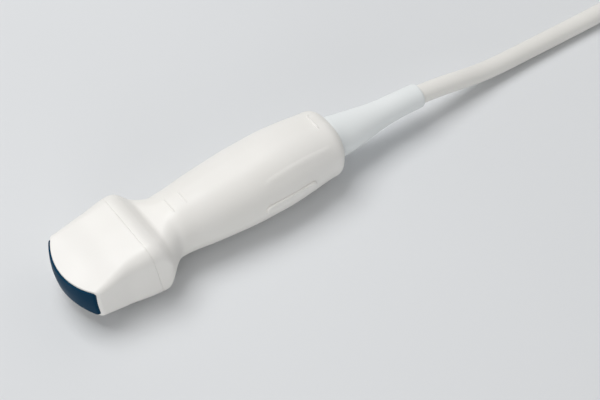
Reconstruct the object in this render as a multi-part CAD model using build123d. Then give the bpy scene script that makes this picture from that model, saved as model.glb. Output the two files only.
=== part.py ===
from build123d import *
from functools import lru_cache
from math import asin, cos, degrees, pi, radians, sin, tan
import os

# Convex ultrasound probe lying on its broad side, with its cord and plug put away behind it.
# Millimetres. +X runs from the lens along the handle to the cord, +Z is up, z = 0 is the surface
# that the probe lies on, and the origin is under the middle of the probe without its cord.
# A station is a distance along the probe's axis from the tip of the lens.

# Probe body
nose_length = 32.0  # lens tip to the seam
handle_length = 98.5  # seam to the rear face
relief_length = 41.0  # strain relief outside the rear face
seam_gap = 0.4
wall = 2.2  # handle shells
rear_wall = 2.0

# Half sizes of the outer form, and the corner radius of each section
front_half_width, front_half_height, front_corner = 17.5, 6.6, 0.9
seam_half_width, seam_half_height, seam_corner = 18.2, 12.3, 5.0
neck_half_width, neck_half_height = 13.4, 12.5
grip_half_width, grip_half_height = 16.3, 15.0
rear_half_width, rear_half_height, rear_corner = 13.6, 13.0, 7.5
shoulder_length = 8.0  # seam to the foot of the shoulder
neck_from_seam = 18.5
grip_from_seam = 64.0
shoulder_dip = 0.45  # depth of the soft crease behind the shoulder, on the broad sides
rear_taper_length, rear_taper = 7.0, 0.6  # last stretch before the rear face
rear_rounding = 4.5
roundness = 0.93  # corner radius over half height where the handle is oval
axis_height = grip_half_height  # the grip lies on the surface

# Lens and the acoustic stack behind it
lens_radius = 28.3  # at mid height, about the array centre
lens_crown = 0.45  # how much further out the middle of the lens is than its edges
lens_thickness = 4.2
lip_setback = 0.9  # lens tip to the tip of the housing's lips
lip_height = 0.85  # thickness of the housing above and below the lens
lip_side = 1.1  # and beside it
nose_wall = 2.0
array_half_angle = 33.0
lens_half_angle = 89.0  # of the lens before the window trims it
array_half_height = 4.5
matching_thickness = 0.4
element_thickness = 0.9
element_count = 32
kerf = 0.18
bond = 0.05  # adhesive between the layers
backing_end = 23.5  # station of the backing's flat back
backing_half_width = 14.0
carrier_start, carrier_length, carrier_clearance = 16.5, 6.0, 0.12
carrier_slot = 0.4  # room over each circuit
spigot_length, spigot_root, spigot_wall, spigot_clearance = 5.0, 4.0, 1.4, 0.1
spigot_overlap = 0.3  # of the spigot's root into the nose's wall
gasket_setback = 0.55  # depth of the groove that shows at the seam

# Flexible circuits and the board
flex_thickness = 0.2
flex_start, flex_spread = 9.0, 28.0  # stations where the circuit starts and begins to narrow
flex_front_half_width, flex_rear_half_width = 14.0, 8.0
board_start, board_length, board_half_width, board_thickness = 45.0, 58.0, 9.0, 1.6
socket_length, socket_half_width, socket_height = 7.0, 8.5, 1.3
chip_length, chip_half_width, chip_height = 9.0, 4.5, 1.2
chip_count, chip_pitch = 2, 13.0
boss_radius, boss_screw_radius = 2.6, 1.0
board_screw_head_radius, board_screw_head = 1.9, 1.2
boss_share, boss_from_board_end = 0.38, 5.0  # places of the two bosses along the board
boss_bore_depth = 7.0
thread_clearance = 0.03  # between a screw and its hole

# Shield cans
shield_gap, shield_thickness = 0.5, 0.4
shield_start, shield_end_gap = 56.0, 3.0
shield_rim = 0.2  # clear of the shells' tongue at the parting
shield_hole_clearance = 0.6

# Cord and its anchor in the handle
cable_diameter = 8.0
ferrule_length, ferrule_wall = 4.0, 0.8
bundle_length, bundle_half_width, bundle_height, bundle_end_radius = 6.0, 6.5, 1.8, 2.6
clamp_length, clamp_half_width, clamp_base_depth, clamp_cap_height = 8.0, 8.4, 7.0, 6.0
clamp_gap = 0.5  # between base and cap, so that they grip the jacket
clamp_screw_radius, clamp_head_radius, clamp_head = 1.0, 1.8, 1.4
clamp_screw_spread = 6.2
clamp_from_flange, ferrule_from_clamp = 2.5, 1.0
relief_flange_radius, relief_flange, relief_neck_radius = 7.6, 2.0, 6.4
relief_base_radius, relief_end_radius = 8.4, 5.15
relief_droop, droop_power = 1.6, 4  # how far the cord's weight bends the end of the relief down
relief_taper = 1.55

# Marks moulded on the handle
bar_from_seam, bar_length, bar_height, bar_proud = 50.2, 24.0, 3.8, 0.9
bar_clearance = 0.05
line_from_seam = (17.3, 23.8)
line_length = (9.9, 7.3)
line_width, line_proud = 0.5, 0.22
hook_from_seam, hook_width, hook_proud = 86.5, 0.8, 0.55
hook_left, hook_right, hook_leg = 6.6, -3.0, 2.2
notch_size, notch_depth = 1.2, 0.8
tongue_depth, tongue_wall, tongue_clearance = 1.2, 0.8, 0.1

# Path of the cord from the strain relief to the hank: points of x, y and height, then two bends
relief_exit = 10.0  # length that leaves the relief straight
cord_points = ((112.3, 0.0, 7.75), (126.0, 0.2, 5.5), (147.0, 0.5, 4.5), (172.0, 0.2, 4.0))
bend_start, bend_corners = 189.0, 3

# Hank of the cord, put away beyond the probe
layer_pitch = 8.2
inner_bend, outer_bend = 24.5, 32.7  # radii of the two columns of turns
hank_near, hank_far = 258.0, 317.0  # x of the centres of its two ends
hank_layers = 3

# The cord leaves the hank's top in a rising loop to the plug
loop_x, loop_radius, loop_corners = 265.4, 27.0, 6
loop_rise = (0.0, 0.2, 0.42, 0.66, 0.88, 1.0)  # share of the rise reached at each corner
tie_width, tie_thickness = 12.0, 0.8
tie_clearance = 0.2

# Plug on the end of the cord
plug_length, plug_half_width, plug_height, plug_wall = 50.0, 23.0, 22.0, 2.0
plug_neck_half_width, plug_neck_length = 11.0, 9.0
plug_corner, plug_edge = 4.0, 1.5
plug_x, plug_turn = 300.5, 25.0
plug_lift = 0.1  # over the hank it lies on
plug_relief_length, plug_relief_base, plug_relief_step, plug_relief_end = 18.0, 6.6, 0.6, 5.0
plug_flange_radius, plug_flange = 8.0, 1.8
block_half_width, block_half_height, block_proud, block_depth = 18.0, 5.5, 8.0, 4.5
block_flange, block_clearance, block_edge = 1.5, 0.05, 0.8
pad_count, pad_width, pad_length, pad_depth, pad_from_edge = 16, 1.2, 6.0, 0.3, 1.2
plug_board_length, plug_board_half_width, plug_board_height = 22.0, 12.0, -2.0
plug_screw_radius, plug_screw_head_radius, plug_screw_head = 1.1, 2.1, 1.5
plug_screw_sunk, plug_screw_reach = 0.3, 5.0  # under the surface, and beyond the parting
plug_boss_radius = 3.0
plug_screw_x, plug_screw_y = (13.0, 40.0), 17.6
lever_x = 27.0  # from the plug's rear to the lever's axis
lever_hub_radius, lever_hub_height = 9.5, 4.6
lever_arm_length, lever_arm_width, lever_arm_height = 17.0, 6.5, 3.4
lever_gap = 0.3  # over the shell
lever_edge, hub_edge = 0.8, 1.2
shaft_radius, shaft_clearance = 3.0, 0.06
shaft_boss_radius, shaft_boss_depth = 5.5, 1.6
cam_radius, cam_lobe, lobe_radius, cam_thickness, cam_gap = 6.0, 9.0, 3.0, 2.0, 0.3

total_length = nose_length + handle_length + relief_length
handle_end = nose_length + handle_length
array_centre = lens_radius  # station of the axis that the lens and the array curve about
cable_radius = cable_diameter / 2


def at(station):
    """x of a station."""
    return station - total_length / 2


def between(low, high):
    """Box with the given lowest and highest corners."""
    size = [h - l for l, h in zip(low, high)]
    middle = [(h + l) / 2 for l, h in zip(low, high)]
    return Pos(*middle) * Box(*size)


def along(start, end, half=60.0):
    """Everything between two stations."""
    return between((at(start), -half, axis_height - half), (at(end), half, axis_height + half))


# Outer form of nose and handle, from section to section


def mix(a, b, share):
    return [p + (q - p) * share for p, q in zip(a, b)]


def nose_rows():
    """Rows of station, half width, half height and corner radius, from the lens tip to the seam."""
    front = (front_half_width, front_half_height, front_corner)
    seam = (seam_half_width, seam_half_height, seam_corner)
    growth = [(0.0, 0.0), (0.27, 0.06), (0.62, 0.5), (0.86, 0.87), (1.0, 1.0)]
    return [(reach * nose_length, *mix(front, seam, share)) for reach, share in growth]


def handle_rows():
    """The same from the seam over the shoulder, neck and grip to the rear face."""
    seam = (seam_half_width, seam_half_height, seam_corner)
    neck = (neck_half_width, neck_half_height, roundness * neck_half_height)
    grip = (grip_half_width, grip_half_height, roundness * grip_half_height)
    rear = (rear_half_width, rear_half_height, rear_corner)
    rows = [(0.0, *seam)]
    # Share of the way from seam to neck, at multiples of the shoulder's length
    for reach, share in ((0.38, 0.02), (0.72, 0.17), (1.0, 0.45), (1.28, 0.73), (1.7, 0.93)):
        width, height, corner = mix(seam, neck, share)
        dip = shoulder_dip * sin(pi * reach / 2) ** 2
        rows.append((reach * shoulder_length, width, height - dip, corner))
    rows.append((neck_from_seam, *neck))
    for share in (0.25, 0.5, 0.75, 1.0):
        reach = neck_from_seam + (grip_from_seam - neck_from_seam) * share
        rows.append((reach, *mix(neck, grip, (1 - cos(pi * share)) / 2)))
    tail = handle_length - rear_taper_length
    for share in (0.5, 1.0):
        rows.append((grip_from_seam + (tail - grip_from_seam) * share, *mix(grip, rear, share**1.7)))
    last = [size - rear_taper for size in rear]
    rows.append((handle_length, *last))
    return [(nose_length + reach, *sizes) for reach, *sizes in rows]


def ring(station, half_width, half_height, corner):
    """One rounded section across the axis."""
    place = Plane(origin=(at(station), 0, axis_height), x_dir=(0, 1, 0), z_dir=(1, 0, 0))
    corner = max(0.3, min(corner, 0.97 * half_width, 0.97 * half_height))
    return place * RectangleRounded(2 * half_width, 2 * half_height, corner)


@lru_cache(None)
def nose_skin(inset):
    """The nose's outer form, moved inwards by inset."""
    return loft([ring(s, a - inset, b - inset, r - inset) for s, a, b, r in nose_rows()])


@lru_cache(None)
def handle_skin(inset):
    """The handle's outer form, moved inwards by inset, or outwards if that is negative."""
    return loft([ring(s, a - inset, b - inset, r - inset) for s, a, b, r in handle_rows()])


@lru_cache(None)
def handle_outside():
    rim = handle_skin(0).faces().sort_by(Axis.X)[-1].edges()
    return fillet(rim, radius=rear_rounding)


@lru_cache(None)
def handle_cavity(inset):
    """Inside of the handle from the seam to the rear wall."""
    return handle_skin(inset) & along(nose_length - 1, handle_end - rear_wall)


@lru_cache(None)
def nose_cavity():
    """Inside of the nose: the lens window at the front, widening with the wall behind it."""
    rows = nose_rows()
    spec = [(-1.0, rows[0], lip_side, lip_height), (rows[1][0], rows[1], lip_side, lip_height)]
    spec += [(row[0], row, nose_wall, nose_wall) for row in rows[2:]]
    return loft([ring(s, row[1] - side, row[2] - top, row[3] - side) for s, row, side, top in spec])


def front_column():
    """Upright column about the array centre that gives the nose its curved front."""
    return Pos(at(array_centre), 0, axis_height) * Cylinder(lens_radius - lip_setback, 80)


# Acoustic stack


def sector(outer, inner, half_height, half_angle, crown=0.0):
    """Curved slab about the array centre, facing the front, with a crowned face if crown is given."""
    with BuildSketch(Plane.XZ) as profile:
        with BuildLine():
            low, high = (outer - crown, -half_height), (outer - crown, half_height)
            if crown:
                ThreePointArc(low, (outer, 0), high)
            else:
                Line(low, high)
            Polyline(high, (inner, half_height), (inner, -half_height), low)
        make_face()
    turned = revolve(profile.sketch, Axis.Z, 2 * half_angle)
    return Pos(at(array_centre), 0, axis_height) * Rot(0, 0, 180 - half_angle) * turned


def make_lens():
    inner = lens_radius - lens_thickness
    slab = sector(lens_radius, inner, front_half_height + 3, lens_half_angle, lens_crown)
    window = nose_cavity() & along(-2, array_centre)
    return slab & window


def stack_radii():
    """Outer radii of the matching layers, the elements and the backing."""
    first = lens_radius - lens_thickness - bond
    second = first - matching_thickness - bond
    elements = second - matching_thickness - bond
    return first, second, elements, elements - element_thickness - bond


def make_matching(outer):
    return sector(outer, outer - matching_thickness, array_half_height, array_half_angle)


def make_elements():
    """The diced piezo elements, side by side along the arc."""
    outer = stack_radii()[2]
    pitch = 2 * array_half_angle / element_count
    half = pitch / 2 - degrees(kerf / 2 / outer)
    one = sector(outer, outer - element_thickness, array_half_height, half)
    centre = (at(array_centre), 0, axis_height)
    spin = Axis(centre, (0, 0, 1))
    first = -array_half_angle + pitch / 2
    return [one.rotate(spin, first + k * pitch) for k in range(element_count)]


def make_backing():
    """Absorbing block behind the elements, curved in front and flat behind."""
    radius = stack_radii()[3]
    column = Pos(at(array_centre), 0, axis_height) * Cylinder(radius, 2 * array_half_height)
    low = (at(0), -backing_half_width, axis_height - array_half_height)
    high = (at(backing_end), backing_half_width, axis_height + array_half_height)
    return column & between(low, high)


def make_carrier():
    """Frame that holds the backing in the nose, with room for the flexible circuits."""
    start, end = carrier_start, carrier_start + carrier_length
    inset = nose_wall + carrier_clearance
    rows = nose_rows()[1:]
    fitting = loft([ring(s, a - inset, b - inset, r - inset) for s, a, b, r in rows])
    slot = array_half_height + bond + flex_thickness + carrier_slot
    hole = between(
        (at(start - 1), -backing_half_width - bond, axis_height - slot),
        (at(end + 1), backing_half_width + bond, axis_height + slot),
    )
    return (fitting & along(start, end)) - hole


# Nose and handle mouldings


def make_nose():
    """Wedge-shaped housing with the lens window, and the spigot that fits into the handle."""
    end = nose_length - seam_gap / 2
    nose = (nose_skin(0) & front_column() & along(-2, end)) - nose_cavity()
    outer, inner = wall + spigot_clearance, wall + spigot_clearance + spigot_wall
    sleeve = handle_skin(outer) - handle_skin(inner)
    sleeve = sleeve & along(nose_length - 0.01, nose_length + spigot_length)
    root = nose_skin(nose_wall - spigot_overlap) - nose_skin(inner)
    root = root & along(nose_length - spigot_root, nose_length)
    keep = handle_root() & along(nose_length - spigot_root, nose_length + spigot_length)
    return nose + (root & keep) + sleeve


def handle_root():
    """Straight-sided prism of the spigot's outside, from inside the nose to inside the handle."""
    s, a, b, r = handle_rows()[0]
    inset = wall + spigot_clearance
    prism = extrude(ring(s, a - inset, b - inset, r - inset), amount=30, both=True)
    return prism + along(0, nose_length - seam_gap / 2)


def make_gasket():
    """Thin seal in the seam, set back so that a groove shows."""
    s, a, b, r = handle_rows()[0]
    start = nose_length - seam_gap / 2
    inner = wall + spigot_clearance / 2
    outside = ring(start, a - gasket_setback, b - gasket_setback, r - gasket_setback)
    inside = ring(start, a - inner, b - inner, r - inner)
    return extrude(outside - inside, amount=seam_gap)


def shell_blank():
    handle = handle_outside() & along(nose_length + seam_gap / 2, handle_end + 5)
    hole = Pos(at(handle_end), 0, axis_height) * Rot(0, 90, 0) * Cylinder(relief_neck_radius, 12)
    return handle - handle_cavity(wall) - hole


def half_space(up):
    far = 80.0
    low, high = (axis_height, axis_height + far) if up else (axis_height - far, axis_height)
    return between((-300, -far, low), (300, far, high))


def bar(grow=0.0):
    """Orientation bar on the -Y side, with round ends."""
    middle = nose_length + bar_from_seam + bar_length / 2
    place = Plane(origin=(at(middle), 0, axis_height), x_dir=(1, 0, 0), z_dir=(0, -1, 0))
    outline = place * SlotOverall(bar_length + 2 * grow, bar_height + 2 * grow)
    reach = extrude(outline, amount=grip_half_width + 5)
    return reach & (handle_skin(-bar_proud) - handle_skin(wall / 2))


def top_rib(station, centre, length, width, proud, deep=0.6):
    """Low rib across the top of the handle."""
    band = handle_skin(-proud) - handle_skin(deep)
    low = (at(station) - width / 2, centre - length / 2, axis_height)
    high = (at(station) + width / 2, centre + length / 2, axis_height + 40)
    return band & between(low, high)


def hook():
    """Hooked rib on the rear top: one leg across and a short leg forwards at its +Y end."""
    station = nose_length + hook_from_seam
    middle = (hook_left + hook_right) / 2
    across = top_rib(station, middle, hook_left - hook_right, hook_width, hook_proud)
    leg = top_rib(station - hook_leg / 2, hook_left - hook_width / 2, hook_width, hook_leg, hook_proud)
    return across + leg


def tongue():
    """Lip inside the parting of the upper shell that seats in the lower one."""
    first, last = nose_length + spigot_length + 1, handle_end - rear_wall - relief_flange - 2
    hollow = handle_cavity(wall + tongue_clearance + tongue_wall)
    above = (handle_cavity(wall) - hollow) & half_space(True)
    above = above & between((at(first), -80, axis_height), (at(last), 80, axis_height + tongue_depth))
    below = (handle_cavity(wall + tongue_clearance) - hollow) & half_space(False)
    below = below & between((at(first), -80, axis_height - tongue_depth), (at(last), 80, axis_height))
    return above + below


def boss_stations():
    """Stations of the two screws that hold the board."""
    return [board_start + board_length * boss_share, board_start + board_length - boss_from_board_end]


def make_upper_shell():
    shell = shell_blank() & half_space(True)
    shell = shell + tongue()
    for s, length in zip(line_from_seam, line_length):
        shell = shell + top_rib(nose_length + s, 0.2, length, line_width, line_proud)
    shell = shell + hook() + bar()
    edge = nose_length + hook_from_seam
    top = axis_height + rear_half_height
    cut = between(
        (at(edge) - notch_size / 2, hook_right - notch_size, top - notch_depth),
        (at(edge) + notch_size / 2, hook_right, top + 5),
    )
    return shell - cut


def make_lower_shell():
    shell = shell_blank() & half_space(False)
    shell = shell - bar(bar_clearance)
    blank = handle_skin(wall / 2)
    for s in boss_stations():
        top = axis_height - board_thickness / 2
        post = Pos(at(s), 0, top - 20) * Cylinder(boss_radius, 40)
        post = post & blank
        bore = Pos(at(s), 0, top) * Cylinder(boss_screw_radius, 2 * boss_bore_depth)
        shell = shell + post - bore
    start = clamp_station()
    seat = between(
        (at(start), -clamp_half_width, axis_height - 40),
        (at(start + clamp_length), clamp_half_width, axis_height - clamp_base_depth),
    )
    return shell + (seat & blank)


# Inside the handle


def make_flex(side):
    """Flexible circuit from the array's edge to the board, side is 1 above and -1 below."""
    lift = array_half_height + bond + flex_thickness / 2
    seat = board_thickness / 2 + socket_height + bond + flex_thickness / 2
    end = board_start + socket_length
    line = [(flex_start, lift), (flex_spread, lift), (board_start - 2, seat), (end, seat)]
    over = [(at(s), axis_height + side * (z + flex_thickness / 2)) for s, z in line]
    under = [(at(s), axis_height + side * (z - flex_thickness / 2)) for s, z in reversed(line)]
    side_view = Plane.XZ * make_face(Polyline(*over, *under, close=True))
    sheet = extrude(side_view, amount=flex_front_half_width, both=True)
    plan = [
        (at(flex_start), -flex_front_half_width),
        (at(flex_spread), -flex_front_half_width),
        (at(board_start - 2), -flex_rear_half_width),
        (at(end), -flex_rear_half_width),
    ]
    plan += [(x, -y) for x, y in reversed(plan)]
    return sheet & extrude(make_face(Polyline(*plan, close=True)), amount=80)


def make_board():
    low = (at(board_start), -board_half_width, axis_height - board_thickness / 2)
    high = (at(board_start + board_length), board_half_width, axis_height + board_thickness / 2)
    plate = between(low, high)
    for s in boss_stations():
        plate = plate - Pos(at(s), 0, axis_height) * Cylinder(boss_screw_radius, 5)
    return plate


def on_board(start, length, half_width, height, side):
    face = axis_height + side * board_thickness / 2
    low, high = sorted((face, face + side * height))
    return between((at(start), -half_width, low), (at(start + length), half_width, high))


def make_sockets():
    return [on_board(board_start, socket_length, socket_half_width, socket_height, k) for k in (1, -1)]


def make_chips():
    first = boss_stations()[0] + board_screw_head_radius + 2
    return [
        on_board(first + k * chip_pitch, chip_length, chip_half_width, chip_height, 1)
        for k in range(chip_count)
    ]


def make_board_screws():
    screws = []
    for s in boss_stations():
        top = axis_height + board_thickness / 2
        head = Pos(at(s), 0, top + board_screw_head / 2) * Cylinder(board_screw_head_radius, board_screw_head)
        shank = Pos(at(s), 0, top - boss_bore_depth / 2)
        shank = shank * Cylinder(boss_screw_radius - thread_clearance, boss_bore_depth)
        screws.append(head + shank)
    return screws


def make_shield(up):
    """Half of the thin can round the board."""
    near = wall + shield_gap
    first, last = shield_start, clamp_station() - shield_end_gap
    can = (handle_cavity(near) - handle_cavity(near + shield_thickness)) & along(first, last)
    rim = tongue_depth + shield_rim
    if up:
        return can & between((-300, -80, axis_height + rim), (300, 80, axis_height + 60))
    can = can & between((-300, -80, axis_height - 60), (300, 80, axis_height - rim))
    for s in boss_stations():
        can = can - Pos(at(s), 0, axis_height - 15) * Cylinder(boss_radius + shield_hole_clearance, 30)
    return can


def clamp_station():
    """Station of the front of the cable clamp."""
    return handle_end - rear_wall - relief_flange - clamp_from_flange - clamp_length


def make_clamp(cap):
    start = clamp_station()
    if cap:
        low, high = clamp_gap / 2, clamp_cap_height
    else:
        low, high = -clamp_base_depth, -clamp_gap / 2
    block = between(
        (at(start), -clamp_half_width, axis_height + low),
        (at(start + clamp_length), clamp_half_width, axis_height + high),
    )
    bore = Pos(at(start), 0, axis_height) * Rot(0, 90, 0) * Cylinder(cable_radius, 40)
    block = block - bore
    for side in (1, -1):
        spot = Pos(at(start + clamp_length / 2), side * clamp_screw_spread, axis_height)
        block = block - spot * Cylinder(clamp_screw_radius, 2 * (clamp_base_depth - 1.5))
        if cap:
            head = spot * Pos(0, 0, high - clamp_head / 2) * Cylinder(clamp_head_radius, clamp_head + 0.01)
            block = block - head
    return block


def make_clamp_screws():
    screws = []
    for side in (1, -1):
        x = at(clamp_station() + clamp_length / 2)
        spot = Pos(x, side * clamp_screw_spread, axis_height)
        top, low = clamp_cap_height, -clamp_base_depth + 2
        head = spot * Pos(0, 0, top - clamp_head / 2) * Cylinder(clamp_head_radius - 0.05, clamp_head)
        shank = spot * Pos(0, 0, (top + low) / 2)
        shank = shank * Cylinder(clamp_screw_radius - thread_clearance, top - low)
        screws.append(head + shank)
    return screws


def make_ferrule():
    sleeve = Cylinder(cable_radius + ferrule_wall, ferrule_length) - Cylinder(cable_radius, ferrule_length)
    return Pos(at(tail_start() + ferrule_length / 2), 0, axis_height) * Rot(0, 90, 0) * sleeve


def tail_start():
    """Station where the cable's jacket begins."""
    return clamp_station() - ferrule_from_clamp - ferrule_length


def make_bundle():
    """The fine coaxial leads, fanned out from the cable to the board's edge."""
    corner = 0.95 * bundle_end_radius
    flat = ring(board_start + board_length + bond, bundle_half_width, bundle_height / 2, 0.7)
    return loft([flat, ring(tail_start() - bond, bundle_end_radius, bundle_end_radius, corner)])


# Strain relief


def relief_line(share):
    """Centre and direction of the relief at a share of its length, bent down towards its end."""
    x = at(handle_end) + relief_length * share
    z = axis_height - relief_droop * share**droop_power
    slope = -droop_power * relief_droop / relief_length * share ** (droop_power - 1)
    return Vector(x, 0, z), Vector(1, 0, slope)


def relief_disc(share, radius):
    centre, direction = relief_line(share)
    return Plane(origin=centre, x_dir=(0, 1, 0), z_dir=direction) * Circle(radius)


def relief_radius(share):
    spread = relief_base_radius - relief_end_radius
    return relief_end_radius + spread * (1 - share) ** relief_taper


def make_tail():
    """Stretch of the cable inside the clamp and the strain relief."""
    shares = (0.0, 0.3, 0.55, 0.8, 1.0)
    bent = loft([relief_disc(t, cable_radius) for t in shares])
    length = handle_end - tail_start()
    straight = Pos(at(handle_end - length / 2), 0, axis_height) * Rot(0, 90, 0)
    return bent + straight * Cylinder(cable_radius, length)


def make_relief(tail):
    shares = (0.0, 0.12, 0.26, 0.42, 0.6, 0.8, 1.0)
    body = loft([relief_disc(t, relief_radius(t)) for t in shares])
    inside = handle_end - rear_wall
    neck = Pos(at(handle_end - rear_wall / 2), 0, axis_height) * Rot(0, 90, 0)
    neck = neck * Cylinder(relief_neck_radius, rear_wall)
    flange = Pos(at(inside - relief_flange / 2), 0, axis_height) * Rot(0, 90, 0)
    flange = flange * Cylinder(relief_flange_radius, relief_flange)
    return body + neck + flange - tail


# Cord


def bend(centre, radius, first, last, corners):
    """Corners of the polygon round an arc, from one angle to another in degrees."""
    step = (last - first) / corners
    reach = radius / cos(radians(step / 2))
    angles = [radians(first + (k + 0.5) * step) for k in range(corners)]
    return [(centre[0] + reach * cos(a), centre[1] + reach * sin(a)) for a in angles]


def side_step():
    """Radius and angle of the two equal arcs that lead the cord beside the hank."""
    run = hank_near - bend_start
    radius = (run**2 + outer_bend**2) / (4 * outer_bend)
    return radius, degrees(asin(run / 2 / radius))


def cord_end():
    """x where the cord enters the hank's lowest layer."""
    radius, angle = side_step()
    return hank_near + radius * tan(radians(angle / 2 / bend_corners))


def route_to_hank():
    """Points of the cord from the strain relief to the start of the hank."""
    start, direction = relief_line(1.0)
    radius, angle = side_step()
    away = bend((bend_start, -radius), radius, 90, 90 - angle, bend_corners)
    back = bend((hank_near, radius - outer_bend), radius, 270 - angle, 270, bend_corners)
    points = [start, start + direction.normalized() * relief_exit]
    points += [Vector(*point) for point in cord_points]
    points += [Vector(x, y, cable_radius) for x, y in away + back]
    return points + [Vector(cord_end(), -outer_bend, cable_radius)]


def lead_start():
    """x where the cord leaves the hank's top layer."""
    return loop_x + loop_radius * tan(radians((180 + plug_turn) / 2 / loop_corners))


def route_to_plug():
    """Points of the cord from the top layer of the hank, round its near end, to the plug."""
    low = cable_radius + (hank_layers - 1) * layer_pitch
    end = plug_point(-plug_relief_length, 0, 0)
    centre = (loop_x, inner_bend - loop_radius)
    turn = bend(centre, loop_radius, 90, 270 + plug_turn, loop_corners)
    points = [Vector(lead_start(), inner_bend, low)]
    points += [Vector(x, y, low + (end.Z - low) * share) for (x, y), share in zip(turn, loop_rise)]
    return points + [end]


def tube(points):
    """Round tube along straight runs with the largest arcs that they leave room for."""
    runs = [(b - a).length for a, b in zip(points, points[1:])]
    radii = []
    for k in range(1, len(points) - 1):
        turn = (points[k] - points[k - 1]).get_angle(points[k + 1] - points[k])
        radii.append(0.45 * min(runs[k - 1], runs[k]) / tan(radians(turn / 2)))
    path = FilletPolyline(*points, radius=radii)
    start = Plane(origin=points[0], z_dir=points[1] - points[0])
    solid = sweep(start * Circle(cable_radius), path=path)
    print("radii", [round(r) for r in radii], "runs", [round(r) for r in runs])
    print("volume over section times length", round(solid.volume / (pi * cable_radius**2 * path.length), 4))
    return solid, path.length


def stadium(radius):
    """Outline round the two ends of the hank."""
    length = hank_far - hank_near
    return Pos(hank_near + length / 2, 0) * SlotCenterToCenter(length, 2 * radius)


def make_hank():
    """Outer form of the wound cord: three layers of two columns, open in the middle."""
    pitch = layer_pitch
    outside, inside = outer_bend + cable_radius, inner_bend - cable_radius
    middle = (inner_bend + outer_bend) / 2
    top = (hank_layers - 1) * pitch
    # Lowest layer: its near end stands back for the cord that comes in
    shift = (outside - middle) / 2
    near = Pos(hank_near, shift) * Circle(outside - shift)
    sides = Pos((hank_near + hank_far) / 2, 0) * Rectangle(hank_far - hank_near, 2 * outside)
    lowest = extrude(near + sides + Pos(hank_far, 0) * Circle(outside), amount=pitch)
    lowest = lowest - between((hank_near, -outside - 1, -1), (cord_end(), -middle, pitch))
    upper = Pos(0, 0, pitch) * extrude(stadium(outside), amount=top)
    # Highest layer: the inner column ends where the cord leaves it
    clear = Circle(middle) & Pos(-middle, 0) * Rectangle(2 * middle, 2 * middle)
    clear = Pos(hank_near, 0, top) * extrude(clear, amount=pitch)
    groove = between((hank_near, 0, top), (lead_start(), middle, top + pitch))
    opening = extrude(stadium(inside), amount=top + pitch)
    return lowest + upper - clear - groove - opening


def make_ties():
    """A strap round each long side of the hank."""
    high = hank_layers * layer_pitch
    width = outer_bend - inner_bend + cable_diameter
    straps = []
    for side in (1, -1):
        spot = Pos((hank_near + hank_far) / 2, side * (inner_bend + outer_bend) / 2, high / 2)
        hole = Box(tie_width + 2, width + 2 * tie_clearance, high + 2 * tie_clearance)
        grow = 2 * (tie_clearance + tie_thickness)
        strap = spot * (Box(tie_width, width + grow, high + grow) - hole)
        straps.append(strap & between((0, -200, 0), (900, 200, 200)))
    return straps


# Plug


def plug_place():
    """Where the plug lies on the hank, from the middle of its rear face."""
    height = hank_layers * layer_pitch + plug_lift + plug_height / 2
    turn = radians(plug_turn)
    # The loop of the cord ends on the plug's axis
    y = inner_bend - loop_radius - (loop_radius + sin(turn) * (loop_x - plug_x)) / cos(turn)
    return Pos(plug_x, y, height) * Rot(0, 0, plug_turn)


def plug_point(x, y, z):
    """A point of the plug's own frame, x from its rear face to its contacts, in the part's frame."""
    return (plug_place() * Pos(x, y, z)).position


def plug_outline(inset):
    w, n = plug_half_width - inset, plug_neck_half_width - inset
    start, neck, end = inset, plug_neck_length + inset * 0.4, plug_length - inset
    side = [(start, n), (neck, w), (end, w)]
    points = side + [(x, -y) for x, y in reversed(side)]
    face = make_face(Polyline(*points, close=True))
    return fillet(face.vertices(), radius=max(0.5, plug_corner - inset))


def plug_body(inset):
    height = plug_height - 2 * inset
    solid = Pos(0, 0, -height / 2) * extrude(plug_outline(inset), amount=height)
    if inset == 0:
        rims = solid.edges().group_by(Axis.Z)
        solid = fillet(rims[0] + rims[-1], radius=plug_edge)
    return solid


def plug_bosses(low, high, radius, hole):
    posts = Part()
    for x in plug_screw_x:
        for y in (plug_screw_y, -plug_screw_y):
            post = Pos(x, y, (low + high) / 2) * Cylinder(radius, high - low)
            if hole:
                post = post - Pos(x, y, (low + high) / 2) * Cylinder(hole, high - low)
            posts = posts + post
    return posts


def plug_blank():
    """Closed plug housing with its openings for the relief and the contact block."""
    blank = plug_body(0) - plug_body(plug_wall)
    neck = Rot(0, 90, 0) * Cylinder(plug_relief_base, 4 * plug_wall)
    window = Pos(plug_length, 0, 0) * Box(4 * plug_wall, 2 * block_half_width, 2 * block_half_height)
    return blank - neck - window


def make_plug_upper():
    half = Pos(0, 0, 50) * Box(300, 300, 100)
    inner = plug_height / 2 - plug_wall
    shell = plug_blank() & half
    shell = shell + plug_bosses(0, inner, plug_boss_radius, 0)
    boss = Pos(lever_x, 0, inner - shaft_boss_depth / 2) * Cylinder(shaft_boss_radius, shaft_boss_depth)
    shell = shell + boss
    shell = shell - Pos(lever_x, 0, inner) * Cylinder(shaft_radius + shaft_clearance, 12)
    for x in plug_screw_x:
        for y in (plug_screw_y, -plug_screw_y):
            shell = shell - Pos(x, y, 0) * Cylinder(plug_screw_radius, 2 * plug_screw_reach)
    return shell


def make_plug_lower():
    half = Pos(0, 0, -50) * Box(300, 300, 100)
    inner = plug_height / 2 - plug_wall
    shell = plug_blank() & half
    shell = shell + plug_bosses(-inner, 0, plug_boss_radius, 0)
    for x in plug_screw_x:
        for y in (plug_screw_y, -plug_screw_y):
            shell = shell - Pos(x, y, -inner) * Cylinder(plug_screw_radius, 4 * inner)
            depth = plug_screw_sunk + plug_screw_head
            shell = shell - Pos(x, y, -plug_height / 2) * Cylinder(plug_screw_head_radius, 2 * depth)
    return shell & half


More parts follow.
